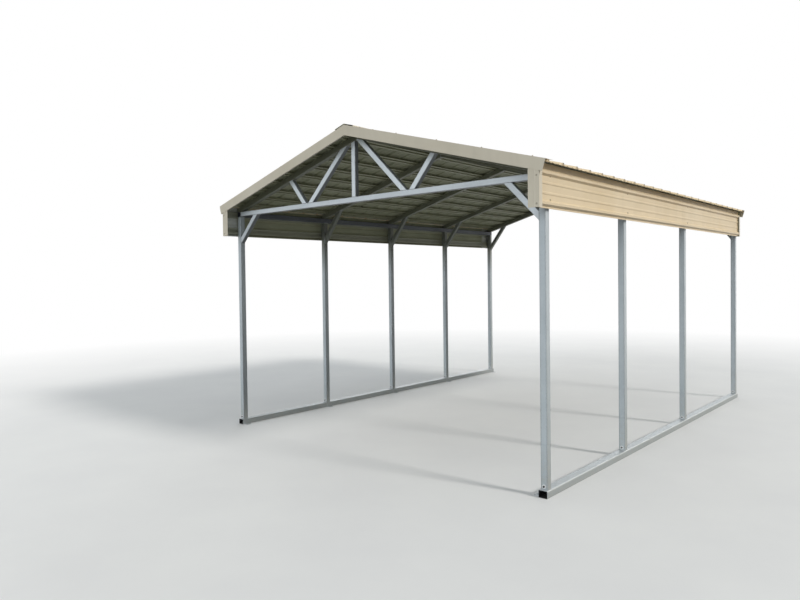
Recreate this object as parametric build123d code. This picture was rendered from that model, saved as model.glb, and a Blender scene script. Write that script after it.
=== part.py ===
from build123d import *
import math
import os

# Open steel carport with a gable roof. Millimetres, +Z up, front facing -Y.
# The origin is on the ground, under the middle of the roof.

# Posts and bays
post_rows_apart = 3960.0
posts_front_to_rear = 5170.0
left_bay_count = 4
right_second_post_from_front = 1455.0
right_third_post_from_front = 3115.0

# Square tube of the frame
tube = 57.0
tube_wall = 2.0
tube_corner = 4.0
web_tube = 50.0
eased_edge = 3.0

# Base rails and anchor clips
rail_width = 76.0
rail_height = 57.0
rail_ahead_of_post = 20.0
rail_behind_post = 10.0
clip_foot = 50.0
clip_length = 60.0
clip_height = 45.0
clip_thickness = 4.0
anchor_hole = 14.0

# Bolts at the feet of the posts
bolt_above_rail = 27.0
bolt_washer = 32.0
bolt_washer_thickness = 2.5
bolt_head = 16.0
bolt_head_height = 8.0

# Heights and roof slope
eave_rail_top = 2481.0
roof_angle = 15.7
panel_bottom = 2197.0

# Front truss and knee braces
truss_left_of_ridge = 65.0
long_web_foot_from_king = 645.0
long_web_angle = 44.0
web_feet_gap = 28.0
short_web_angle = 50.0
knee_leg = 280.0

# Sheet metal
sheet = 1.0
rib_pitch = 228.6
rib_base = 48.0
rib_crown = 18.0
rib_height = 19.0
minor_rib_pitch = 76.2
minor_rib_base = 24.0
minor_rib_crown = 10.0
minor_rib_height = 4.0

# Hat channels under the roof and behind the side panels
hat_height = 25.0
hat_crown = 32.0
hat_foot = 20.0
hat_steel = 1.2
purlin_count = 9
first_purlin_from_ridge = 140.0
last_purlin_from_eave = 200.0
girt_above_panel_bottom = 62.0
girt_below_eave_top = 40.0

# Roof edges and trims
front_overhang = 204.0
rear_overhang = 45.0
eave_overhang = 115.0
sheet_from_ridge = 30.0
ridge_cap_leg = 125.0
ridge_cap_lip = 9.0
rake_face_below_sheet = 48.0
rake_flange = 120.0
rake_return = 18.0
corner_front_leg = 95.0
corner_side_leg = 45.0
corner_bead_from_outside = 43.0
corner_bead_width = 16.0
corner_bead_depth = 3.0
corner_hem = 13.0
corner_hem_gap = 0.5
bottom_trim_leg = 12.0
bottom_trim_depth = 9.0
panel_clearance_at_roof = 6.0
fit_gap = 0.3

# Derived places
half_width = post_rows_apart / 2
roof_length = front_overhang + posts_front_to_rear + rear_overhang
roof_front = -roof_length / 2
roof_rear = roof_length / 2
front_y = roof_front + front_overhang
rear_y = roof_rear - rear_overhang
post_top = eave_rail_top - tube
slope = math.tan(math.radians(roof_angle))
slope_cos = math.cos(math.radians(roof_angle))
rafter_seat_x = half_width - tube / 2
rafter_underside_apex = eave_rail_top + rafter_seat_x * slope
rafter_top_apex = rafter_underside_apex + tube / slope_cos
post_outer_x = half_width + tube / 2
rail_front = front_y - tube / 2 - rail_ahead_of_post
rail_rear = rear_y + tube / 2 + rail_behind_post
eave_x = half_width + eave_overhang
eave_run = eave_x / slope_cos
king_x = -truss_left_of_ridge
chord_bottom = eave_rail_top - web_tube
panel_inner_x = post_outer_x + hat_height
panel_outer_x = panel_inner_x + sheet + rib_height
panel_front = roof_front + sheet + rake_return
panel_rear = rear_y + tube / 2

left_bay = posts_front_to_rear / left_bay_count
left_post_ys = [front_y + left_bay * number for number in range(left_bay_count + 1)]
right_post_ys = [
    front_y,
    front_y + right_second_post_from_front,
    front_y + right_third_post_from_front,
    rear_y,
]
frame_ys = left_post_ys


def box_tube(across, deep, length, open_end=False):
    """A box section with rounded edges that rises from the ground plane."""
    outside = RectangleRounded(across, deep, tube_corner)
    bore_across = across - 2 * tube_wall
    bore_deep = deep - 2 * tube_wall
    if open_end:
        bore = RectangleRounded(bore_across, bore_deep, tube_corner - tube_wall)
    else:
        bore = Rectangle(bore_across, bore_deep)
    return extrude(outside - bore, length)


def overhead_tube(side, length):
    """A square section for the roof frame, with eased edges, that rises from the ground plane."""
    outside = chamfer(Rectangle(side, side).vertices(), eased_edge)
    bore = Rectangle(side - 2 * tube_wall, side - 2 * tube_wall)
    return extrude(outside - bore, length)


def tube_along_y(across, deep, start_y, end_y, x, z, open_end=False):
    """A tube laid front to rear, centred on x and z."""
    section = box_tube(across, deep, end_y - start_y, open_end)
    return Plane(origin=(x, start_y, z), x_dir=(1, 0, 0), z_dir=(0, 1, 0)) * section


def tube_in_frame(side, start, end, y, spare):
    """A tube in a cross frame between two (x, z) points, with spare length past both for its cuts."""
    run_x = end[0] - start[0]
    run_z = end[1] - start[1]
    length = math.hypot(run_x, run_z)
    low_x = start[0] - run_x / length * spare
    low_z = start[1] - run_z / length * spare
    section = overhead_tube(side, length + 2 * spare)
    return Plane(origin=(low_x, y, low_z), x_dir=(0, 1, 0), z_dir=(run_x, 0, run_z)) * section


def folded(path, thickness):
    """Closed outline of a bent sheet: one face follows the path and the other lies to its left."""
    points = [Vector(*point) for point in path]
    runs = [(end - start).normalized() for start, end in zip(points, points[1:])]
    lefts = [Vector(-run.Y, run.X) for run in runs]
    other_face = []
    for point, before, after in zip(points, lefts[:1] + lefts, lefts + lefts[-1:]):
        corner = point + (before + after) * (thickness / (1 + before.dot(after)))
        other_face.append((corner.X, corner.Y))
    return path + other_face[::-1]


def prism_along_y(corners, start_y, end_y):
    """A closed outline of (x, z) corners drawn out from start_y to end_y."""
    outline = make_face(Polyline(*[(x, start_y, z) for x, z in corners], close=True))
    return extrude(outline, end_y - start_y, dir=(0, 1, 0))


def box_in_frame(start_x, end_x, low_z, high_z, y):
    """The space of one cross frame between two widths and two heights."""
    corners = [(start_x, low_z), (end_x, low_z), (end_x, high_z), (start_x, high_z)]
    return prism_along_y(corners, y - tube, y + tube)


def mirrored(solid):
    """The same piece on the other side of the ridge."""
    return mirror(solid, about=Plane.YZ)


def on_right_slope(solid):
    """Carries a piece drawn flat, with x down the slope and z off the rafters, to the right slope."""
    return Pos(0, 0, rafter_top_apex) * Rot(0, roof_angle, 0) * solid


def slope_height(x, above_rafter):
    """Height of the plane that lies above_rafter off the rafter tops."""
    return rafter_top_apex + above_rafter / slope_cos - abs(x) * slope


def post(x, y):
    return Pos(x, y, rail_height) * box_tube(tube, tube, post_top - rail_height)


def base_rail(x):
    return tube_along_y(rail_width, rail_height, rail_front, rail_rear, x, rail_height / 2, open_end=True)


def eave_rail(x):
    start_y = front_y - tube / 2
    end_y = rear_y + tube / 2
    return tube_along_y(tube, tube, start_y, end_y, x, eave_rail_top - tube / 2)


def anchor_clip(y):
    """Right-hand angle clip: a drilled foot on the ground and a leg against the inside of the rail."""
    rail_inner = half_width - rail_width / 2
    path = [(rail_inner - clip_foot, 0), (rail_inner, 0), (rail_inner, clip_height)]
    clip = prism_along_y(folded(path, clip_thickness), y - clip_length / 2, y + clip_length / 2)
    hole_x = rail_inner - (clip_foot + clip_thickness) / 2
    return clip - Pos(hole_x, y, clip_thickness / 2) * Cylinder(anchor_hole / 2, 2 * clip_thickness)


def foot_bolt(x, y):
    """Washer and hexagon head on the front face of a post, just above the rail."""
    washer = Pos(0, 0, bolt_washer_thickness / 2) * Cylinder(bolt_washer / 2, bolt_washer_thickness)
    head = Pos(0, 0, bolt_washer_thickness) * extrude(RegularPolygon(bolt_head / 2, 6), bolt_head_height)
    middle = (x, y - tube / 2, rail_height + bolt_above_rail)
    return Plane(origin=middle, x_dir=(1, 0, 0), z_dir=(0, -1, 0)) * (washer + head)


def rafter(y):
    """Right-hand rafter: plumb cut at the ridge and over the eave rail, seat cut on the rail."""
    start = (0, slope_height(0, -tube / 2))
    end = (post_outer_x, slope_height(post_outer_x, -tube / 2))
    whole = tube_in_frame(tube, start, end, y, spare=tube)
    return whole & box_in_frame(0, post_outer_x, eave_rail_top, rafter_top_apex, y)


def under_rafters():
    """The triangle between the chord and the undersides of the front rafters."""
    corners = [(-rafter_seat_x, eave_rail_top), (rafter_seat_x, eave_rail_top), (0, rafter_underside_apex)]
    return prism_along_y(corners, front_y - tube, front_y + tube)


def foot_half_length(angle):
    """Half of what a web takes up along the chord."""
    return web_tube / 2 / math.sin(math.radians(angle))


def web_member(side, foot_from_king, angle, leans):
    """Web that leans out (1) or in (-1), cut to the chord, the rafter and the face of the king post."""
    rise = rafter_underside_apex - eave_rail_top
    head_from_king = foot_from_king + leans * rise / math.tan(math.radians(angle))
    foot = (king_x + side * foot_from_king, eave_rail_top)
    head = (king_x + side * head_from_king, rafter_underside_apex)
    whole = tube_in_frame(web_tube, foot, head, front_y, spare=web_tube)
    king_face = king_x + side * web_tube / 2
    beside_king = box_in_frame(king_face, side * half_width, eave_rail_top, rafter_underside_apex, front_y)
    return whole & under_rafters() & beside_king


def long_web(side):
    return web_member(side, long_web_foot_from_king, long_web_angle, leans=-1)


def short_web(side):
    feet_apart = foot_half_length(long_web_angle) + web_feet_gap + foot_half_length(short_web_angle)
    return web_member(side, long_web_foot_from_king + feet_apart, short_web_angle, leans=1)


def king_post():
    length = rafter_underside_apex - eave_rail_top
    whole = Pos(king_x, front_y, eave_rail_top) * overhead_tube(web_tube, length)
    return whole & under_rafters()


def bottom_chord():
    """Front chord between the inner faces of the two eave rails."""
    chord_z = eave_rail_top - web_tube / 2
    start = (-rafter_seat_x, chord_z)
    end = (rafter_seat_x, chord_z)
    return tube_in_frame(web_tube, start, end, front_y, spare=0)


def knee_brace(y, ceiling_z, ceiling_angle):
    """Right-hand knee brace with equal legs down the post and along the chord or rafter."""
    along_x = math.cos(math.radians(ceiling_angle))
    along_z = math.sin(math.radians(ceiling_angle))
    foot = (rafter_seat_x, ceiling_z - knee_leg)
    head = (rafter_seat_x - knee_leg * along_x, ceiling_z + knee_leg * along_z)
    whole = tube_in_frame(web_tube, foot, head, y, spare=web_tube)
    reach = 2 * knee_leg
    corners = [
        (rafter_seat_x, ceiling_z - reach),
        (rafter_seat_x, ceiling_z),
        (rafter_seat_x - reach * along_x, ceiling_z + reach * along_z),
        (rafter_seat_x - reach * along_x, ceiling_z - reach),
    ]
    return whole & prism_along_y(corners, y - tube, y + tube)


def hat_channel(start_y, end_y):
    """Hat section along y, its feet down on z = 0."""
    half_crown = hat_crown / 2
    path = [
        (half_crown + hat_foot, hat_steel),
        (half_crown, hat_steel),
        (half_crown, hat_height),
        (-half_crown, hat_height),
        (-half_crown, hat_steel),
        (-half_crown - hat_foot, hat_steel),
    ]
    return prism_along_y(folded(path, hat_steel), start_y, end_y)


def purlins():
    """Hat channels across the right-hand rafters."""
    channel = hat_channel(roof_front + sheet, roof_rear - sheet)
    last = eave_run - last_purlin_from_eave
    step = (last - first_purlin_from_ridge) / (purlin_count - 1)
    down_slope = [first_purlin_from_ridge + step * number for number in range(purlin_count)]
    return [on_right_slope(Pos(distance, 0, 0) * channel) for distance in down_slope]


def side_girts():
    """Hat channels on the outside of the right-hand posts and eave rail."""
    channel = hat_channel(panel_front, panel_rear)
    heights = [panel_bottom + girt_above_panel_bottom, eave_rail_top - girt_below_eave_top]
    return [Pos(post_outer_x, 0, height) * Rot(0, 90, 0) * channel for height in heights]


def rib_points(centre, base, crown, height):
    return [
        (centre - base / 2, 0),
        (centre - crown / 2, height),
        (centre + crown / 2, height),
        (centre + base / 2, 0),
    ]


def ribbed_profile(start, end, first_rib):
    """Outline of a ribbed sheet: a tall rib at each pitch and low ones between, where they fit whole."""
    path = [(start, 0)]
    low_rib_count = round(rib_pitch / minor_rib_pitch) - 1
    ribs_before = math.ceil((first_rib - start) / rib_pitch)
    ribs_after = math.ceil((end - first_rib) / rib_pitch)
    for number in range(-ribs_before, ribs_after + 1):
        centre = first_rib + number * rib_pitch
        ribs = [rib_points(centre, rib_base, rib_crown, rib_height)]
        for low in range(1, low_rib_count + 1):
            low_centre = centre + low * minor_rib_pitch
            ribs.append(rib_points(low_centre, minor_rib_base, minor_rib_crown, minor_rib_height))
        for rib in ribs:
            if rib[0][0] > start and rib[-1][0] < end:
                path += rib
    path.append((end, 0))
    return folded(path, sheet)


def roof_sheet():
    """Right-hand roof sheet, ribs running from ridge to eave."""
    profile = ribbed_profile(roof_front + sheet, roof_rear - sheet, roof_front + sheet + rib_base)
    corners = [(sheet_from_ridge, along, hat_height + height) for along, height in profile]
    outline = make_face(Polyline(*corners, close=True))
    return on_right_slope(extrude(outline, eave_run - sheet_from_ridge, dir=(1, 0, 0)))


def ridge_cap():
    """Folded cap over the ridge, its lips turned down onto the flanges of the rake trims."""
    flange_top = hat_height + sheet + rib_height + sheet
    underside = flange_top + ridge_cap_lip
    edge_x = ridge_cap_leg * slope_cos
    path = [
        (-edge_x, slope_height(edge_x, flange_top)),
        (-edge_x, slope_height(edge_x, underside)),
        (0, slope_height(0, underside)),
        (edge_x, slope_height(edge_x, underside)),
        (edge_x, slope_height(edge_x, flange_top)),
    ]
    return prism_along_y(folded(path, sheet), roof_front, roof_rear)


def rake_trim(front):
    """Right-hand rake trim: a deep face, a flange over the ribs and, in front, a return below."""
    top = hat_height + sheet + rib_height + sheet
    bottom = -rake_face_below_sheet
    path = [(rake_flange, top), (0, top), (0, bottom)]
    if front:
        path.append((rake_return, bottom))
    edge_y = roof_front if front else roof_rear
    inward = 1 if front else -1
    corners = [(-tube, edge_y + inward * depth, height) for depth, height in folded(path, sheet)]
    outline = make_face(Polyline(*corners, close=True))
    past_ridge = on_right_slope(extrude(outline, eave_run + tube, dir=(1, 0, 0)))
    low_z = slope_height(eave_x, bottom) - tube
    high_z = rafter_top_apex + tube + top
    right_half = [(0, low_z), (eave_x + tube, low_z), (eave_x + tube, high_z), (0, high_z)]
    return past_ridge & prism_along_y(right_half, edge_y - 2 * rake_flange, edge_y + 2 * rake_flange)


def side_panel():
    """Right-hand side panel, ribs running front to rear, its top just under the roof sheet."""
    bottom = panel_bottom + sheet + fit_gap
    top = slope_height(panel_outer_x, hat_height) - panel_clearance_at_roof
    profile = ribbed_profile(bottom, top, bottom + bottom_trim_leg + rib_base / 2)
    corners = [(panel_inner_x + height, z) for z, height in profile]
    return prism_along_y(corners, panel_front, panel_rear)


def bottom_trim():
    """J trim that wraps the lower edge of the right-hand side panel."""
    back_x = panel_inner_x - fit_gap - sheet
    front_x = panel_inner_x + sheet + fit_gap + sheet
    path = [
        (back_x, panel_bottom + bottom_trim_depth),
        (back_x, panel_bottom),
        (front_x, panel_bottom),
        (front_x, panel_bottom + bottom_trim_leg),
    ]
    return prism_along_y(folded(path, sheet), panel_front, panel_rear)


def corner_trim(front):
    """Right-hand corner angle below the rake trim, with a hemmed edge and a bead down its face."""
    outer_x = panel_outer_x + sheet
    inner_x = outer_x - corner_front_leg
    bead_x = outer_x - corner_bead_from_outside
    hem_back = 2 * sheet + corner_hem_gap
    path = [
        (inner_x + corner_hem, hem_back),
        (inner_x, hem_back),
        (inner_x, 0),
        (bead_x - corner_bead_width / 2, 0),
        (bead_x, -corner_bead_depth),
        (bead_x + corner_bead_width / 2, 0),
        (outer_x, 0),
        (outer_x, corner_side_leg),
    ]
    face_y = roof_front + sheet + corner_bead_depth if front else panel_rear + hem_back
    inward = 1 if front else -1
    corners = [(x, face_y + inward * depth, panel_bottom) for x, depth in folded(path, sheet)]
    outline = make_face(Polyline(*corners, close=True))
    whole = extrude(outline, eave_rail_top - panel_bottom + tube, dir=(0, 0, 1))
    near_x = inner_x - tube
    far_x = outer_x + tube
    below_rake = [
        (near_x, panel_bottom),
        (far_x, panel_bottom),
        (far_x, slope_height(far_x, -rake_face_below_sheet)),
        (near_x, slope_height(near_x, -rake_face_below_sheet)),
    ]
    return whole & prism_along_y(below_rake, face_y - corner_front_leg, face_y + corner_front_leg)


nodes = {}


def add(name, *solids):
    nodes[name] = solids[0] if len(solids) == 1 else Compound(children=list(solids))


# The left side: a post and a knee brace at each frame
left = {"side": -1, "posts": left_post_ys, "braces": frame_ys[1:]}
# The right side: posts between the frames, with knee braces at the front and rear
right = {"side": 1, "posts": right_post_ys, "braces": [rear_y]}

for side_name, layout in (("left", left), ("right", right)):
    side = layout["side"]

    def placed(solid, side=side):
        return solid if side > 0 else mirrored(solid)

    add(f"base_rail_{side_name}", base_rail(side * half_width))
    for number, y in enumerate(layout["posts"], start=1):
        add(f"post_{side_name}_{number}", post(side * half_width, y))
    add(f"eave_rail_{side_name}", eave_rail(side * half_width))
    add(f"rafters_{side_name}", *[placed(rafter(y)) for y in frame_ys])
    add(f"long_web_{side_name}", long_web(side))
    add(f"short_web_{side_name}", short_web(side))
    braces = [knee_brace(front_y, chord_bottom, 0)]
    braces += [knee_brace(y, eave_rail_top, roof_angle) for y in layout["braces"]]
    add(f"knee_braces_{side_name}", *[placed(brace) for brace in braces])
    add(f"purlins_{side_name}", *[placed(channel) for channel in purlins()])
    add(f"side_girts_{side_name}", *[placed(channel) for channel in side_girts()])
    add(f"roof_sheet_{side_name}", placed(roof_sheet()))
    add(f"rake_trim_front_{side_name}", placed(rake_trim(front=True)))
    add(f"rake_trim_rear_{side_name}", placed(rake_trim(front=False)))
    add(f"side_panel_{side_name}", placed(side_panel()))
    add(f"bottom_trim_{side_name}", placed(bottom_trim()))
    add(f"corner_trim_front_{side_name}", placed(corner_trim(front=True)))
    add(f"corner_trim_rear_{side_name}", placed(corner_trim(front=False)))
    add(f"anchor_clips_{side_name}", *[placed(anchor_clip(y)) for y in layout["posts"]])

add("bottom_chord", bottom_chord())
add("king_post", king_post())
add("ridge_cap", ridge_cap())
left_bolts = [foot_bolt(-half_width, y) for y in left_post_ys]
right_bolts = [foot_bolt(half_width, y) for y in right_post_ys]
add("post_bolts", *left_bolts, *right_bolts)

os.makedirs("parts", exist_ok=True)
for name, solid in nodes.items():
    export_step(solid, f"parts/{name}.step")
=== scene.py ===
import math
import bpy
import bmesh
from mathutils import Matrix, Vector


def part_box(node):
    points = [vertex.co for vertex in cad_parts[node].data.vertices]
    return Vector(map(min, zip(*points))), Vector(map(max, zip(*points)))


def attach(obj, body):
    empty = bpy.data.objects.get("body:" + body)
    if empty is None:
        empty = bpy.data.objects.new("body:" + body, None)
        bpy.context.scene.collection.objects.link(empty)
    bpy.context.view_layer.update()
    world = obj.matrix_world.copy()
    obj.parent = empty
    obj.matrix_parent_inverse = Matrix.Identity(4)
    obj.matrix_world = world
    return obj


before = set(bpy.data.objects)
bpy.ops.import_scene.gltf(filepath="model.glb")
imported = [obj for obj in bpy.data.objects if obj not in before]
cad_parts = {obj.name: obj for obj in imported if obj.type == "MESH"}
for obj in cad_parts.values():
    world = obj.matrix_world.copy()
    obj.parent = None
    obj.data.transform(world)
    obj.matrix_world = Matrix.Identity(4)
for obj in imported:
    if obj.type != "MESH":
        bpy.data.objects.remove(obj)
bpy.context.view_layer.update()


def lowest(node):
    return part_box(node)[0]


def highest(node):
    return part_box(node)[1]


def middle_x(node):
    return (lowest(node).x + highest(node).x) / 2


def middle_y(node):
    return (lowest(node).y + highest(node).y) / 2


# Camera, solved from the posts, rails and roof edges: a photo 800 pixels wide
photo_width = 800
focal_pixels = 640.8
principal_y_above_middle = 9.5
camera_place = Vector((4.415, -6.8805, 1.692))
camera_yaw = math.radians(41.81)
camera_pitch = math.radians(1.14)
camera_roll = math.radians(-0.69)
sensor_width = 36.0
farthest_seen = 300

# Sizes of the sheet metal, in metres
roof_angle = math.radians(15.7)
sheet = 0.001
rib_height = 0.019
rib_pitch = 0.2286
rib_base = 0.048
rib_crown = 0.018
hat_height = 0.025
hat_crown = 0.032
hat_foot = 0.020
corner_bead_depth = 0.003

# Foot bolts
bolt_above_rail = 0.027
bolt_head = 0.016
bolt_washer_thickness = 0.0025
bolt_head_height = 0.008
bolt_cap_thickness = 0.0003

# Sheet screws: each inset is taken from the edge, rib or fold that its name gives
roof_screw_beside_rib = 0.038
panel_screw_above_bottom = 0.068
panel_screw_below_eave = 0.040
flange_screw_from_ridge = 0.17
flange_screw_from_end = 0.035
flange_screw_count = 5
flange_screw_spare = 0.3
corner_screw_heights = (0.028, 0.235)
corner_screw_from_outside = 0.022
cap_screw_from_ridge = 0.1
cap_above_flange = 0.009
screw_top = 0.0066
low_screw_top = 0.0037
washer_sides = 14
hexagon = 6

# Closures in the ribs' open ends
closure_clearance = 0.0006
closure_depth = 0.012
closure_from_edge = 0.002

# Weld beads; cut ends less than a frame step apart along the length belong to one frame
weld_radius = 0.0028
weld_sides = 5
cut_reach = 0.0004
frame_step = 0.4

# Places of the frame, in metres
sides = {"left": -1, "right": 1}
up_slope = {}
for side, sign in sides.items():
    up_slope[side] = Vector((sign * math.sin(roof_angle), 0, math.cos(roof_angle)))
chord_top = highest("bottom_chord").z
chord_bottom = lowest("bottom_chord").z
front_y = middle_y("bottom_chord")
eave_top = highest("eave_rail_right").z
eave_inner_x = lowest("eave_rail_right").x
rail_top = highest("base_rail_right").z
rail_middle_x = middle_x("base_rail_right")
rail_outer_x = highest("base_rail_right").x
rafter_underside = eave_top + eave_inner_x * math.tan(roof_angle)
rafter_top = highest("rafters_right").z
roof_front = lowest("rake_trim_front_right").y
roof_rear = highest("rake_trim_rear_right").y
panel_bottom = lowest("bottom_trim_right").z
panel_outer_x = highest("side_panel_right").x
panel_flat_x = panel_outer_x - rib_height

# Heights above the rafters' tops, and a roof sheet's length down the slope
sheet_top = hat_height + sheet
flange_top = sheet_top + rib_height + 2 * sheet
eave_x = highest("roof_sheet_right").x
eave_run = (eave_x - (hat_height + rib_height + sheet) * math.sin(roof_angle)) / math.cos(roof_angle)

# Directions
up = (0, 0, 1)
down = (0, 0, -1)
to_right = (1, 0, 0)
to_rear = (0, 1, 0)
to_front = (0, -1, 0)

# Stretch of a pattern along each axis: a small number draws it out
along_x = (0.05, 1, 1)
along_y = (1, 0.05, 1)
along_z = (1, 1, 0.05)
rain_down_panel = (1, 1, 0.12)
rain_down_roof = (0.12, 1, 0.3)

# Colours of paint, as linear light
tan_paint = (0.69, 0.555, 0.36)
tan_faded = (0.74, 0.61, 0.42)
trim_paint = (0.62, 0.56, 0.445)
trim_faded = (0.69, 0.63, 0.515)
wash_coat = (0.50, 0.515, 0.36)
# Painted light on the wash coat past the end frames
end_light_colour = (0.86, 0.87, 0.83)
roof_screw_paint = (0.62, 0.51, 0.34)
trim_screw_paint = (0.5, 0.44, 0.34)

# Colours of metal; a pair is the bright and the dark part of its clouds
zinc = ((0.66, 0.705, 0.74), (0.56, 0.605, 0.64))
# Painted light: a lighter copy of the zinc, on the webs
lit_web_zinc = ((0.78, 0.83, 0.865), (0.66, 0.71, 0.75))
post_grey = ((0.54, 0.59, 0.62), (0.45, 0.50, 0.53))
rail_grey = ((0.55, 0.595, 0.625), (0.47, 0.515, 0.545))
# Painted shade: the eave rails and rafters are coloured dark for the shade under the roof
eave_rail_shade_navy = ((0.11, 0.12, 0.14), (0.09, 0.1, 0.118))
rafter_shade_olive = ((0.225, 0.23, 0.165), (0.195, 0.2, 0.145))
channel_olive = ((0.48, 0.485, 0.34), (0.44, 0.445, 0.31))
girt_olive = ((0.4, 0.405, 0.31), (0.36, 0.365, 0.28))
# Painted shade on the frames behind the front one and on the top of the left posts
inner_shade_zinc = (0.2, 0.21, 0.18)
edge_highlight_zinc = (0.93, 0.95, 0.94)
# Painted highlight on the base rails' outer top edge
plated_zinc = (0.94, 0.95, 0.95)
weld_grey = (0.44, 0.46, 0.475)
dark_steel = (0.03, 0.031, 0.034)

# Colours of dirt, rubber and shade
spray_marks = (0.22, 0.235, 0.225)
soil = (0.47, 0.445, 0.37)
# Painted shade with dust on the base rails' tops, and painted shade inside the open tubes
rail_top_shade_and_dust = (0.255, 0.285, 0.30)
open_tube_shade = (0.03, 0.03, 0.03)
rubber_dark = (0.035, 0.034, 0.032)
rubber_light = (0.06, 0.058, 0.055)


def slope_point(side, from_ridge, above_rafter, y):
    """A point on a roof slope, by the distance down from the ridge and the height off the rafter tops."""
    x = from_ridge * math.cos(roof_angle) + above_rafter * math.sin(roof_angle)
    z = rafter_top - from_ridge * math.sin(roof_angle) + above_rafter * math.cos(roof_angle)
    return Vector((sides[side] * x, y, z))


def scaled(colour, factor):
    return tuple(factor * part for part in colour)


class Nodes:
    """A node tree under construction."""

    def __init__(self, tree):
        self.tree = tree
        self.tree.nodes.clear()

    def node(self, kind, **settings):
        made = self.tree.nodes.new(kind)
        for key, value in settings.items():
            setattr(made, key, value)
        return made

    def join(self, source, target):
        """Links a socket to the target, or sets the target to a number or a tuple."""
        if isinstance(source, (int, float, tuple)):
            target.default_value = source
        else:
            self.tree.links.new(source, target)

    def math(self, operation, first, second=0):
        made = self.node("ShaderNodeMath", operation=operation)
        self.join(first, made.inputs[0])
        self.join(second, made.inputs[1])
        return made.outputs[0]

    def times(self, first, second):
        return self.math("MULTIPLY", first, second)

    def absolute(self, value):
        return self.math("ABSOLUTE", value)

    def vector_math(self, operation, first, second=(0, 0, 0), output="Value"):
        made = self.node("ShaderNodeVectorMath", operation=operation)
        self.join(first, made.inputs[0])
        self.join(second, made.inputs[1])
        return made.outputs[output]

    def axis(self, vector, name):
        made = self.node("ShaderNodeSeparateXYZ")
        self.join(vector, made.inputs[0])
        return made.outputs[name]

    def between(self, value, low, high, to_low=0.0, to_high=1.0):
        """The value's place between low and high, clamped, as a number from to_low to to_high."""
        made = self.node("ShaderNodeMapRange")
        self.join(value, made.inputs["Value"])
        made.inputs["From Min"].default_value = low
        made.inputs["From Max"].default_value = high
        made.inputs["To Min"].default_value = to_low
        made.inputs["To Max"].default_value = to_high
        return made.outputs["Result"]

    def mixed(self, share, first, second):
        """Two surfaces or backgrounds in one."""
        made = self.node("ShaderNodeMixShader")
        self.join(share, made.inputs[0])
        self.join(first, made.inputs[1])
        self.join(second, made.inputs[2])
        return made.outputs[0]

    def plain_light(self, kind, colour, strength=1.0):
        """An emission or background of one colour."""
        made = self.node(kind)
        self.join((*colour, 1), made.inputs["Color"])
        self.join(strength, made.inputs["Strength"])
        return made.outputs[0]

    def shown(self):
        """1 where the camera, gloss or glass looks, and 0 where only light falls."""
        path = self.node("ShaderNodeLightPath")
        looked_at = self.math("MAXIMUM", path.outputs["Is Camera Ray"], path.outputs["Is Glossy Ray"])
        return self.math("MAXIMUM", looked_at, path.outputs["Is Transmission Ray"])


class Shader(Nodes):
    """A node material under construction, with one Principled BSDF."""

    def __init__(self, name, **plain):
        self.material = bpy.data.materials.new(name)
        self.material.use_nodes = True
        super().__init__(self.material.node_tree)
        self.output = self.node("ShaderNodeOutputMaterial")
        self.surface = self.node("ShaderNodeBsdfPrincipled")
        self.join(self.surface.outputs["BSDF"], self.output.inputs["Surface"])
        for socket, value in plain.items():
            self.surface.inputs[socket.replace("_", " ")].default_value = value
        coordinates = self.node("ShaderNodeTexCoord")
        self.place = coordinates.outputs["Object"]
        self.facing = coordinates.outputs["Normal"]

    def stretched(self, scale):
        """The row frame's coordinates times a scale along each axis."""
        return self.vector_math("MULTIPLY", self.place, scale, "Vector")

    def noise(self, scale, detail=3.0, rough=0.55, stretch=(1, 1, 1)):
        made = self.node("ShaderNodeTexNoise")
        self.join(self.stretched(stretch), made.inputs["Vector"])
        made.inputs["Scale"].default_value = scale
        made.inputs["Detail"].default_value = detail
        made.inputs["Roughness"].default_value = rough
        return made.outputs["Fac"]

    def cells(self, scale):
        """A random colour in each cell of an irregular pattern."""
        made = self.node("ShaderNodeTexVoronoi")
        self.join(self.place, made.inputs["Vector"])
        made.inputs["Scale"].default_value = scale
        return made.outputs["Color"]

    def blend(self, share, first, second):
        """A colour between first and second, each a colour or a socket."""
        made = self.node("ShaderNodeMix", data_type="RGBA")
        self.join(share, made.inputs["Factor"])
        # The colours are the node's seventh and eighth sockets, and its third output
        for value, socket in ((first, made.inputs[6]), (second, made.inputs[7])):
            if isinstance(value, tuple):
                value = (*value, 1)
            self.join(value, socket)
        return made.outputs[2]

    def rounded(self, radius):
        """The normal of edges rounded to a radius."""
        made = self.node("ShaderNodeBevel", samples=6)
        made.inputs["Radius"].default_value = radius
        return made.outputs["Normal"]

    def edges(self, rounded):
        """1 on the rounded edges and 0 on the flats between them."""
        flat = self.node("ShaderNodeNewGeometry").outputs["True Normal"]
        likeness = self.vector_math("DOT_PRODUCT", rounded, flat)
        return self.between(likeness, 0.995, 0.9)

    def colour(self, source):
        self.join(source, self.surface.inputs["Base Color"])

    def roughness(self, source):
        self.join(source, self.surface.inputs["Roughness"])

    def metallic(self, source):
        self.join(source, self.surface.inputs["Metallic"])

    def bump(self, height, strength, distance, rounded=None):
        made = self.node("ShaderNodeBump")
        made.inputs["Strength"].default_value = strength
        made.inputs["Distance"].default_value = distance
        self.join(height, made.inputs["Height"])
        if rounded is not None:
            self.join(rounded, made.inputs["Normal"])
        self.join(made.outputs["Normal"], self.surface.inputs["Normal"])


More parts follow.
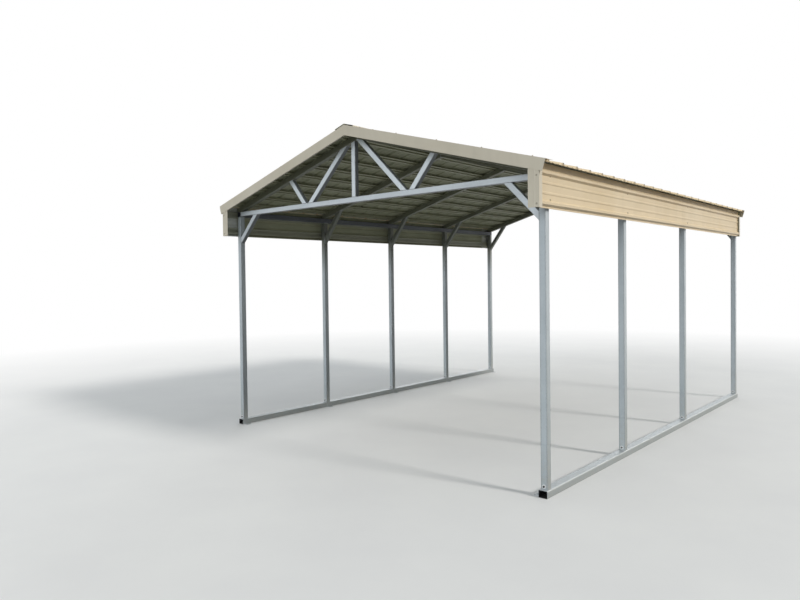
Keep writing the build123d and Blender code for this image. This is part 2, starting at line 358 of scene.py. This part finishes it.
def painted_steel(name, paint, faded, inward, streak, lit_ends=False):
    """Baked paint on one face of a sheet and a wash coat on the other, which faces inward."""
    shader = Shader(name, Specular_IOR_Level=0.42)
    drift = shader.between(shader.noise(1.7, detail=4), 0.35, 0.7)
    colour = shader.blend(drift, paint, faded)
    dust = shader.between(shader.noise(5.0, detail=5, rough=0.65, stretch=streak), 0.48, 0.78, 0.0, 0.22)
    colour = shader.blend(dust, colour, scaled(faded, 0.62))
    likeness = shader.vector_math("DOT_PRODUCT", shader.facing, inward)
    inside = shader.math("GREATER_THAN", likeness, 0.05)
    shader.colour(shader.blend(inside, colour, inner_coat(shader, paint, lit_ends)))
    fine = shader.between(shader.noise(170.0, detail=2), 0.3, 0.7, -0.02, 0.02)
    gloss = shader.math("ADD", shader.between(shader.noise(6.0), 0.3, 0.7, 0.38, 0.5), fine)
    shader.roughness(shader.math("ADD", gloss, shader.times(inside, 0.18)))
    orange_peel = shader.noise(420.0, detail=1)
    shader.bump(orange_peel, strength=0.12, distance=0.0004)
    return shader.material


def inner_coat(shader, paint, lit_ends):
    """Wash coat, with painted warm light past the side panels and, on some, painted light past the end
    frames.
    """
    drift = shader.between(shader.noise(3.1, detail=4), 0.35, 0.7)
    colour = shader.blend(drift, wash_coat, scaled(wash_coat, 0.86))
    outward = shader.absolute(shader.axis(shader.place, "X"))
    # Painted light: warm light in the paint's colour on the wash coat past the side panels
    bounce_light_share = shader.between(outward, panel_outer_x - 0.02, panel_outer_x + 0.01, 0.0, 0.8)
    colour = shader.blend(bounce_light_share, colour, scaled(paint, 0.8))
    if not lit_ends:
        return colour
    # Painted light on the wash coat past the end frames
    from_middle = shader.absolute(shader.axis(shader.place, "Y"))
    end_light_share = shader.between(from_middle, -front_y - 0.02, -front_y + 0.03, 0.0, 0.85)
    return shader.blend(end_light_share, colour, end_light_colour)


def zinc_colours(name, shades, along):
    """A new zinc shader and its colour: clouds, spangle, drawing marks and bloom."""
    light, dark = shades
    shader = Shader(name, Specular_IOR_Level=0.5)
    cloud = shader.noise(2.6, detail=5, rough=0.6)
    colour = shader.blend(shader.between(cloud, 0.35, 0.68), dark, light)
    spangle = shader.between(spangles(shader), 0.0, 1.0, 0.0, 0.16)
    colour = shader.blend(spangle, colour, scaled(light, 1.25))
    marks = shader.between(drawing_marks(shader, along), 0.5, 0.8, 0.0, 0.2)
    colour = shader.blend(marks, colour, scaled(dark, 0.55))
    white_rust = tuple(0.2 + 0.8 * part for part in light)
    return shader, shader.blend(blooms(shader), colour, white_rust)


def spangles(shader):
    return shader.axis(shader.cells(105.0), "X")


def drawing_marks(shader, along):
    return shader.noise(30.0, detail=3, stretch=along)


def blooms(shader):
    return shader.between(shader.noise(9.0, detail=6, rough=0.7), 0.56, 0.74, 0.0, 0.3)


def zinc_finish(shader, colour, along, rounded, shine):
    """Roughness, metal and bump of a zinc surface."""
    shader.colour(colour)
    rough = shader.between(spangles(shader), 0.0, 1.0, 0.4, 0.56)
    bloom = blooms(shader)
    shader.roughness(shader.math("ADD", rough, shader.times(bloom, 0.4)))
    shader.metallic(shader.between(bloom, 0.0, 0.3, shine, shine / 2))
    marks = shader.times(drawing_marks(shader, along), 0.6)
    relief = shader.math("ADD", spangles(shader), marks)
    shader.bump(relief, strength=0.1, distance=0.0005, rounded=rounded)
    return shader.material


def painted_edge_shade(shader, colour, dark, rounded, share):
    """Painted shade: a dark line along rounded edges."""
    return shader.blend(shader.times(shader.edges(rounded), share), colour, scaled(dark, 0.4))


def painted_inner_shade(shader, colour, up_to_x, from_height):
    """Painted shade: a dark zinc colour on the frames behind the front one, left of a place and above a
    height.
    """
    behind = shader.between(shader.axis(shader.place, "Y"), front_y + 0.1, front_y + 0.5)
    above = shader.between(shader.axis(shader.place, "Z"), from_height, from_height + 0.4)
    left = shader.math("LESS_THAN", shader.axis(shader.place, "X"), up_to_x)
    return shader.blend(shader.times(left, shader.times(behind, above)), colour, inner_shade_zinc)


def fine_dirt(shader):
    return shader.between(shader.noise(38.0, detail=5, rough=0.7), 0.4, 0.72)


def soiled(shader, colour, splash_share):
    """Spray marks on the faces that look sideways and soil near the feet."""
    spray_from, spray_full = 1.5, 0.1
    soil_from, soil_full = 0.42, 0.0
    height = shader.axis(shader.place, "Z")
    sideways = shader.between(shader.absolute(shader.axis(shader.facing, "X")), 0.6, 0.95)
    spray = shader.times(sideways, shader.between(height, spray_from, spray_full, 0.0, 0.6))
    colour = shader.blend(spray, colour, spray_marks)
    low_down = shader.between(height, soil_from, soil_full, 0.0, splash_share)
    return shader.blend(shader.times(low_down, fine_dirt(shader)), colour, soil)


def zinc_under_roof(name, shades, along, rounding):
    """Zinc with painted shade along its rounded edges and little shine, on tubes and channels under the
    roof.
    """
    shader, colour = zinc_colours(name, shades, along)
    rounded = shader.rounded(rounding)
    # Painted shade along the rounded edges
    colour = painted_edge_shade(shader, colour, shades[1], rounded, 0.7)
    return zinc_finish(shader, colour, along, rounded, shine=0.05)


def zinc_cross_frame(name, shades, along):
    """Zinc with painted shade on the faces across the frame and along the rounded edges, and painted
    shade on the frames behind the front one.
    """
    shader, colour = zinc_colours(name, shades, along)
    rounded = shader.rounded(0.003)
    # Painted shade along the rounded edges
    colour = painted_edge_shade(shader, colour, shades[1], rounded, 0.7)
    # Painted shade on the faces that look across the frame
    shaded_side_share = shader.between(shader.absolute(shader.axis(shader.facing, "Y")), 0.8, 0.3)
    colour = shader.blend(shaded_side_share, colour, scaled(shades[1], 0.32))
    # Painted shade on the frames behind the front one
    colour = painted_inner_shade(shader, colour, up_to_x=rail_middle_x, from_height=1.0)
    return zinc_finish(shader, colour, along, rounded, shine=0.1)


def zinc_post(name):
    """Zinc of the posts: soiled, with painted shade along the wide corners, and painted shade at the top
    of the left row.
    """
    shader, colour = zinc_colours(name, post_grey, along_z)
    colour = soiled(shader, colour, 0.75)
    # Painted shade at the top of the left row of posts
    colour = painted_inner_shade(shader, colour, up_to_x=0.0, from_height=1.75)
    # Painted shade along the rounded corners
    colour = painted_edge_shade(shader, colour, post_grey[1], shader.rounded(0.011), 0.6)
    return zinc_finish(shader, colour, along_z, shader.rounded(0.004), shine=0.1)


def zinc_base_rail(name):
    """Zinc of the base rails: painted shade with dust on top, a painted highlight on the outer edge and
    painted shade inside.
    """
    shader, colour = zinc_colours(name, rail_grey, along_y)
    colour = soiled(shader, colour, 0.35)
    height = shader.axis(shader.place, "Z")
    # Painted shade with dust: the top faces are a darker blue grey
    on_top = shader.between(shader.axis(shader.facing, "Z"), 0.6, 0.95)
    dust = shader.times(on_top, shader.between(fine_dirt(shader), 0.0, 1.0, 0.6, 0.85))
    colour = shader.blend(dust, colour, rail_top_shade_and_dust)

    # Painted highlight along the outer top edge
    highlight_from, highlight_full = 0.012, 0.005
    outward = shader.absolute(shader.axis(shader.place, "X"))
    near_edge = shader.between(outward, rail_outer_x - highlight_from, rail_outer_x - highlight_full)
    near_top = shader.between(height, rail_top - highlight_from, rail_top - highlight_full)
    highlight_share = shader.times(shader.times(near_edge, near_top), 0.4)
    colour = shader.blend(highlight_share, colour, edge_highlight_zinc)

    # Painted shade: near black inside the open tube, between its walls and below its top
    rim = 0.0018
    from_middle = shader.absolute(shader.math("SUBTRACT", outward, rail_middle_x))
    between_walls = shader.math("LESS_THAN", from_middle, rail_outer_x - rail_middle_x - rim)
    below_top = shader.math("LESS_THAN", height, rail_top - rim / 2)
    colour = shader.blend(shader.times(between_walls, below_top), colour, open_tube_shade)
    return zinc_finish(shader, colour, along_y, shader.rounded(0.004), shine=0.1)


def plain_metal(name, colour, metallic, roughness):
    """Metal or paint of small pieces, with a fine change of tone."""
    shader = Shader(name, Metallic=metallic)
    tone = shader.between(shader.noise(260.0, detail=3), 0.3, 0.7)
    shader.colour(shader.blend(tone, colour, scaled(colour, 0.7)))
    shader.roughness(shader.between(shader.noise(90.0), 0.3, 0.7, roughness - 0.07, roughness + 0.07))
    return shader.material


def rubber(name):
    shader = Shader(name, Specular_IOR_Level=0.3)
    tone = shader.between(shader.noise(300.0), 0.3, 0.7)
    shader.colour(shader.blend(tone, rubber_dark, rubber_light))
    shader.roughness(shader.between(tone, 0.0, 1.0, 0.6, 0.8))
    return shader.material


def frame_finishes():
    """The finish of each kind of node, by the start of its name."""
    base_rail = zinc_base_rail("galvanised_rails")
    cross_frame = zinc_cross_frame("galvanised_cross_frames", zinc, along_x)
    # The webs' lighter zinc is painted light
    webs = zinc_cross_frame("galvanised_webs", lit_web_zinc, along_z)
    finishes = {
        "bottom_chord": cross_frame,
        "knee_braces": cross_frame,
        "post": zinc_post("galvanised_posts"),
        "post_bolts": plain_metal("zinc_plate", plated_zinc, metallic=0.1, roughness=0.38),
        "base_rail": base_rail,
        "anchor_clips": base_rail,
        "king_post": webs,
        "long_web": webs,
        "short_web": webs,
        # The eave rails' and rafters' dark colours are painted shade
        "eave_rail": zinc_under_roof("shade_dark_eave_rails", eave_rail_shade_navy, along_y, rounding=0.002),
        "rafters": zinc_under_roof("shade_dark_rafters", rafter_shade_olive, along_x, rounding=0.003),
        "purlins": zinc_under_roof("dull_channels", channel_olive, along_y, rounding=0.001),
        "side_girts": zinc_under_roof("dull_girts", girt_olive, along_y, rounding=0.001),
        "roof_sheet": painted_steel("roof_paint", tan_paint, tan_faded, down, rain_down_roof),
        "ridge_cap": painted_steel("cap_paint", trim_paint, trim_faded, down, rain_down_roof),
    }
    for side, sign in sides.items():
        inward = (-sign, 0, 0)
        name = f"panel_paint_{side}"
        panel = painted_steel(name, tan_paint, tan_faded, inward, rain_down_panel, lit_ends=True)
        finishes[f"side_panel_{side}"] = panel
        finishes[f"bottom_trim_{side}"] = panel
    for end, inward in (("front", to_rear), ("rear", to_front)):
        trim = painted_steel(f"trim_paint_{end}", trim_paint, trim_faded, inward, rain_down_panel)
        finishes[f"rake_trim_{end}"] = trim
        finishes[f"corner_trim_{end}"] = trim
    return finishes


def dress_frame():
    """Every CAD node gets the finish with the longest start that its name has."""
    finishes = frame_finishes()
    for name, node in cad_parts.items():
        start = max((key for key in finishes if name.startswith(key)), key=len)
        node.data.materials.clear()
        node.data.materials.append(finishes[start])


def standing(normal, place, spin=0.0):
    """Where a small piece stands: its foot at place and its z axis along normal."""
    turn = Vector(up).rotation_difference(Vector(normal)).to_matrix().to_4x4()
    return Matrix.Translation(place) @ turn @ Matrix.Rotation(spin, 4, "Z")


def add_piece(name, template, places, materials):
    """One mesh that holds a copy of the template, a bmesh, at each place."""
    template.verts.index_update()
    verts = [vert.co.copy() for vert in template.verts]
    faces = [[vert.index for vert in face.verts] for face in template.faces]
    kinds = [face.material_index for face in template.faces]
    all_verts = [place @ co for place in places for co in verts]
    all_faces = []
    for first in range(0, len(all_verts), len(verts)):
        all_faces += [[first + index for index in face] for face in faces]
    mesh = bpy.data.meshes.new(name)
    mesh.from_pydata(all_verts, [], all_faces)
    mesh.polygons.foreach_set("material_index", kinds * len(places))
    for material in materials:
        mesh.materials.append(material)
    piece = bpy.data.objects.new(name, mesh)
    bpy.context.scene.collection.objects.link(piece)
    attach(piece, "root")


def turned(template, outline, segments, kind):
    """Adds a turned shape: rings of radius and height, closed on top."""
    angles = [2 * math.pi * number / segments for number in range(segments)]
    rings = []
    for radius, height in outline:
        points = [(radius * math.cos(angle), radius * math.sin(angle), height) for angle in angles]
        rings.append([template.verts.new(point) for point in points])
    for lower, upper in zip(rings, rings[1:]):
        for number in range(segments):
            after = (number + 1) % segments
            face = template.faces.new((lower[number], lower[after], upper[after], upper[number]))
            face.material_index = kind
    face = template.faces.new(rings[-1])
    face.material_index = kind


def screw_template(head_top):
    """Self-drilling screw: a sealing ring, a domed washer and a hexagon head."""
    metal, ring = 0, 1
    chamfer = 0.0008
    template = bmesh.new()
    turned(template, [(0.0072, 0), (0.0076, 0.0006), (0.0072, 0.0013)], washer_sides, ring)
    turned(template, [(0.0069, 0.0011), (0.0069, 0.0017), (0.0052, 0.0024)], washer_sides, metal)
    turned(template, [(0.0046, 0.0022), (0.0046, head_top - chamfer), (0.0039, head_top)], hexagon, metal)
    return template


def spin_of(number):
    """A turn for the head of each screw, no two neighbours alike."""
    angle_between = 2.399
    return number * angle_between


def slope_down(place):
    """Distance down the slope of a point of the right-hand roof."""
    return abs(place.x) * math.cos(roof_angle) + (rafter_top - place.z) * math.sin(roof_angle)


def purlin_distances():
    """How far down the slope each purlin lies: evenly, and about as far apart as the ribs."""
    reached = [slope_down(vert.co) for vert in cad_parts["purlins_right"].data.vertices]
    half_hat = hat_crown / 2 + hat_foot
    first = min(reached) + half_hat
    run = max(reached) - half_hat - first
    count = round(run / rib_pitch)
    return [first + run * number / count for number in range(count + 1)]


def rib_stations():
    """Where the tall ribs of the roof sheets lie, front to rear."""
    first = roof_front + sheet + rib_base
    count = int((roof_rear - rib_base / 2 - first) / rib_pitch)
    return [first + rib_pitch * number for number in range(count + 1)]


def posts_of(side):
    return sorted(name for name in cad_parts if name.startswith(f"post_{side}"))


def roof_screw_places(side):
    """Beside each tall rib, over every second purlin."""
    places = []
    for row, from_ridge in enumerate(purlin_distances()[1::2]):
        for number, y in enumerate(rib_stations()):
            spot = slope_point(side, from_ridge, sheet_top, y + roof_screw_beside_rib)
            places.append(standing(up_slope[side], spot, spin_of(row + number)))
    return places


def panel_screw_places(side):
    """Two at each post, into the side girts."""
    sign = sides[side]
    places = []
    for number, post in enumerate(posts_of(side)):
        for height in (panel_bottom + panel_screw_above_bottom, eave_top - panel_screw_below_eave):
            spot = Vector((sign * panel_flat_x, middle_y(post), height))
            places.append(standing((sign, 0, 0), spot, spin_of(number)))
    return places


def corner_screw_places(side):
    """Two on the end face of each corner trim, beside its bead."""
    face_front = lowest(f"corner_trim_front_{side}").y + corner_bead_depth
    face_rear = highest(f"corner_trim_rear_{side}").y - corner_bead_depth
    x = sides[side] * (panel_outer_x - corner_screw_from_outside)
    places = []
    for face_y, normal in ((face_front, to_front), (face_rear, to_rear)):
        for height in corner_screw_heights:
            places.append(standing(normal, Vector((x, face_y, panel_bottom + height)), spin_of(3)))
    return places


def flange_screw_places(side):
    """A row down the top flange of each rake trim."""
    step = (eave_run - flange_screw_spare) / (flange_screw_count - 1)
    places = []
    for y in (roof_front + flange_screw_from_end, roof_rear - flange_screw_from_end):
        for number in range(flange_screw_count):
            spot = slope_point(side, flange_screw_from_ridge + step * number, flange_top, y)
            places.append(standing(up_slope[side], spot, spin_of(number)))
    return places


def cap_screw_places(side):
    """Along one leg of the ridge cap, over the tall ribs."""
    places = []
    for number, y in enumerate(rib_stations()[1:-1]):
        spot = slope_point(side, cap_screw_from_ridge, flange_top + cap_above_flange, y)
        places.append(standing(up_slope[side], spot, spin_of(number)))
    return places


def add_screws():
    ring = rubber("sealing_ring")
    tan = [plain_metal("screw_paint", roof_screw_paint, metallic=0.1, roughness=0.42), ring]
    grey = [plain_metal("trim_screw_paint", trim_screw_paint, metallic=0.1, roughness=0.42), ring]
    screw = screw_template(screw_top)
    low_screw = screw_template(low_screw_top)
    for side in sides:
        add_piece(f"roof_screws_{side}", screw, roof_screw_places(side), tan)
        add_piece(f"panel_screws_{side}", screw, panel_screw_places(side), tan)
        add_piece(f"corner_screws_{side}", low_screw, corner_screw_places(side), grey)
        add_piece(f"flange_screws_{side}", screw, flange_screw_places(side), grey)
        add_piece(f"cap_screws_{side}", screw, cap_screw_places(side), grey)


def add_bolt_heads():
    """A dark cap over the hexagon head of each post's foot bolt."""
    chamfer = 0.001
    metal = plain_metal("dark_steel", dark_steel, metallic=0.3, roughness=0.5)
    radius = bolt_head / 2 + bolt_cap_thickness
    foot = bolt_washer_thickness
    top = foot + bolt_head_height + bolt_cap_thickness
    cap = bmesh.new()
    turned(cap, [(radius, foot), (radius, top - chamfer), (0.86 * radius, top)], hexagon, 0)
    places = []
    for post in posts_of("left") + posts_of("right"):
        spot = Vector((middle_x(post), lowest(post).y, rail_top + bolt_above_rail))
        places.append(standing(to_front, spot))
    add_piece("bolt_heads", cap, places, [metal])


def closure_template():
    """A block with a rib's section, its outer end at 0 on the x axis, which points down the slope."""
    half_foot = rib_base / 2 - 2 * closure_clearance
    half_head = rib_crown / 2 - closure_clearance
    low = -closure_clearance
    high = rib_height - closure_clearance
    outline = [(-half_foot, low), (half_foot, low), (half_head, high), (-half_head, high)]
    block = bmesh.new()
    outer, inner = [[block.verts.new((x, *point)) for point in outline] for x in (0, -closure_depth)]
    block.faces.new(outer)
    block.faces.new(inner[::-1])
    for number in range(len(outline)):
        after = (number + 1) % len(outline)
        block.faces.new((outer[after], outer[number], inner[number], inner[after]))
    return block


def add_rib_closures():
    """Painted blocks that close the open ends of the roof ribs at the eaves."""
    paint = plain_metal("closure_paint", tan_paint, metallic=0.0, roughness=0.5)
    block = closure_template()
    for side, sign in sides.items():
        down_slope = Vector((sign * math.cos(roof_angle), 0, -math.sin(roof_angle)))
        turn = Matrix((down_slope, to_rear, up_slope[side])).transposed().to_4x4()
        places = []
        for y in rib_stations():
            spot = slope_point(side, eave_run - closure_from_edge, hat_height, y)
            places.append(Matrix.Translation(spot) @ turn)
        add_piece(f"rib_closures_{side}", block, places, [paint])


def cut_outlines(name, point, normal):
    """Outlines of a node's cut ends on a plane, one for each solid there, each a loop of points."""
    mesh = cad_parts[name].data
    normal = Vector(normal).normalized()
    side = normal.orthogonal().normalized()
    other = normal.cross(side)
    groups = {}
    for vert in mesh.vertices:
        if abs((vert.co - point).dot(normal)) < cut_reach:
            groups.setdefault(round((vert.co.y - front_y) / frame_step), []).append(vert.co.copy())
    loops = []
    for cluster in groups.values():
        middle = sum(cluster, Vector()) / len(cluster)
        hull = convex([((co - middle).dot(side), (co - middle).dot(other)) for co in cluster])
        if len(hull) > 3:
            loops.append([middle + side * a + other * b for a, b in hull])
    return loops


def convex(points):
    """The convex hull of flat points, anticlockwise."""
    points = sorted(set((round(a, 6), round(b, 6)) for a, b in points))
    hull = []
    for ordered in (points, points[::-1]):
        half = []
        for point in ordered:
            while len(half) > 1 and turn_of(half[-2], half[-1], point) <= 0:
                half.pop()
            half.append(point)
        hull += half[:-1]
    return hull


def turn_of(first, second, third):
    """Over 0 where the way from first to third turns left at second."""
    across = (second[0] - first[0]) * (third[1] - first[1])
    return across - (second[1] - first[1]) * (third[0] - first[0])


def weld_bead(template, loop):
    """Adds a rippled bead round a closed loop of points."""
    step = weld_radius * 0.9
    points = []
    for start, end in zip(loop, loop[1:] + loop[:1]):
        count = max(1, round((end - start).length / step))
        points += [start.lerp(end, number / count) for number in range(count)]
    middle = sum(loop, Vector()) / len(loop)
    normal = (loop[1] - loop[0]).cross(loop[2] - loop[1]).normalized()
    rings = []
    for number, point in enumerate(points):
        outward = (point - middle).normalized()
        ripple = 0.16 * math.sin(number * 1.7) + 0.08 * math.sin(number * 0.61 + 2)
        swell = weld_radius * (1 + ripple)
        ring = []
        for part in range(weld_sides):
            angle = 2 * math.pi * part / weld_sides
            away = outward * math.cos(angle) + normal * math.sin(angle)
            ring.append(template.verts.new(point + away * swell))
        rings.append(ring)
    for ring, after in zip(rings, rings[1:] + rings[:1]):
        for part in range(weld_sides):
            beside = (part + 1) % weld_sides
            template.faces.new((ring[part], after[part], after[beside], ring[beside]))


def welded_cuts():
    """Each cut end that is welded: its node, and a point and the normal of its plane."""
    middle = Vector((0, 0, 0))
    chord = Vector((0, 0, chord_top))
    under_chord = Vector((0, 0, chord_bottom))
    under_rafters = Vector((0, 0, rafter_underside))
    cuts = [("king_post", chord, up), ("rafters_right", middle, to_right)]
    for side, sign in sides.items():
        eave = Vector((sign * eave_inner_x, 0, 0))
        cuts += [
            (f"long_web_{side}", chord, up),
            (f"short_web_{side}", chord, up),
            ("bottom_chord", eave, to_right),
            (f"knee_braces_{side}", eave, to_right),
            (f"knee_braces_{side}", under_chord, up),
            ("long_web_left", under_rafters, up_slope[side]),
            ("long_web_right", under_rafters, up_slope[side]),
            (f"short_web_{side}", under_rafters, up_slope[side]),
            (f"knee_braces_{side}", under_rafters, up_slope[side]),
        ]
        for post in posts_of(side):
            cuts.append((post, Vector((0, 0, rail_top)), up))
            cuts.append((post, Vector((0, 0, highest(post).z)), up))
    return cuts


def add_welds():
    """Beads where the tubes of the frame meet."""
    metal = plain_metal("weld_zinc_paint", weld_grey, metallic=0.45, roughness=0.55)
    beads = bmesh.new()
    for name, point, normal in welded_cuts():
        for loop in cut_outlines(name, point, normal):
            weld_bead(beads, loop)
    add_piece("welds", beads, [Matrix.Identity(4)], [metal])


def add_stage():
    """A pale floor that keeps the shadow and fades into a white background."""
    floor_dark = (0.72, 0.72, 0.72)
    floor_light = (0.75, 0.75, 0.745)
    floor_as_light = (0.17, 0.17, 0.165)
    fade_start = 5.5
    fade_end = 13.0
    reach = 60.0
    below = -0.0008
    shader = Shader("floor", Specular_IOR_Level=0.2, Roughness=0.9)
    grain = shader.between(shader.noise(0.9, detail=5), 0.35, 0.65)
    pale = shader.blend(grain, floor_dark, floor_light)
    shown = shader.shown()
    shader.colour(shader.blend(shown, floor_as_light, pale))
    distance = shader.vector_math("LENGTH", shader.stretched((1, 1, 0)))
    away = shader.times(shader.between(distance, fade_start, fade_end), shown)
    white = shader.plain_light("ShaderNodeEmission", (1, 1, 1))
    floor_surface = shader.mixed(away, shader.surface.outputs["BSDF"], white)
    shader.join(floor_surface, shader.output.inputs["Surface"])
    mesh = bpy.data.meshes.new("floor")
    corners = [(-reach, -reach), (reach, -reach), (reach, reach), (-reach, reach)]
    mesh.from_pydata([(x, y, below) for x, y in corners], [], [(0, 1, 2, 3)])
    mesh.materials.append(shader.material)
    floor = bpy.data.objects.new("floor", mesh)
    bpy.context.scene.collection.objects.link(floor)


def add_world():
    """Light that grows from the horizon up, and plain white where the camera and gloss look."""
    at_horizon = 0.08
    overhead = 0.62
    full_from = 0.8
    world = bpy.data.worlds.new("studio")
    bpy.context.scene.world = world
    world.use_nodes = True
    nodes = Nodes(world.node_tree)
    direction = nodes.node("ShaderNodeTexCoord").outputs["Generated"]
    strength = nodes.between(nodes.axis(direction, "Z"), 0.0, full_from, at_horizon, overhead)
    ambient = nodes.plain_light("ShaderNodeBackground", (0.93, 0.98, 1.0), strength)
    white = nodes.plain_light("ShaderNodeBackground", (1, 1, 1))
    output = nodes.node("ShaderNodeOutputWorld")
    nodes.join(nodes.mixed(nodes.shown(), ambient, white), output.inputs["Surface"])


def add_lights():
    """Soft lights from far away: energy, colour, spread in degrees and the way that each shines."""
    lights = {
        "key_from_right": (2.12, (1.0, 0.97, 0.92), 10, (-0.86, -0.12, -0.50)),
        "fill_from_front": (1.25, (0.92, 0.97, 1.0), 36, (-0.04, 0.95, -0.27)),
        "fill_from_rear_left": (0.7, (0.95, 0.98, 1.0), 40, (0.5, -0.78, -0.38)),
    }
    for name, (energy, colour, spread, towards) in lights.items():
        data = bpy.data.lights.new(name, "SUN")
        data.energy = energy
        data.color = colour
        data.angle = math.radians(spread)
        light = bpy.data.objects.new(name, data)
        bpy.context.scene.collection.objects.link(light)
        light.rotation_mode = "QUATERNION"
        light.rotation_quaternion = Vector(towards).to_track_quat("-Z", "Y")


def add_camera():
    data = bpy.data.cameras.new("camera")
    data.sensor_width = sensor_width
    data.lens = focal_pixels / photo_width * sensor_width
    data.shift_y = -principal_y_above_middle / photo_width
    data.clip_end = farthest_seen
    camera = bpy.data.objects.new("camera", data)
    bpy.context.scene.collection.objects.link(camera)
    flat = math.cos(camera_pitch)
    ahead = Vector((-math.sin(camera_yaw) * flat, math.cos(camera_yaw) * flat, -math.sin(camera_pitch)))
    level = Vector((math.cos(camera_yaw), math.sin(camera_yaw), 0))
    over = level.cross(ahead)
    camera_right = level * math.cos(camera_roll) + over * math.sin(camera_roll)
    camera_up = -level * math.sin(camera_roll) + over * math.cos(camera_roll)
    turn = Matrix((camera_right, camera_up, -ahead)).transposed()
    camera.matrix_world = Matrix.Translation(camera_place) @ turn.to_4x4()
    bpy.context.scene.camera = camera


dress_frame()
add_screws()
add_bolt_heads()
add_rib_closures()
add_welds()
add_stage()
add_world()
add_lights()
add_camera()
bpy.context.scene.view_settings.view_transform = "Standard"
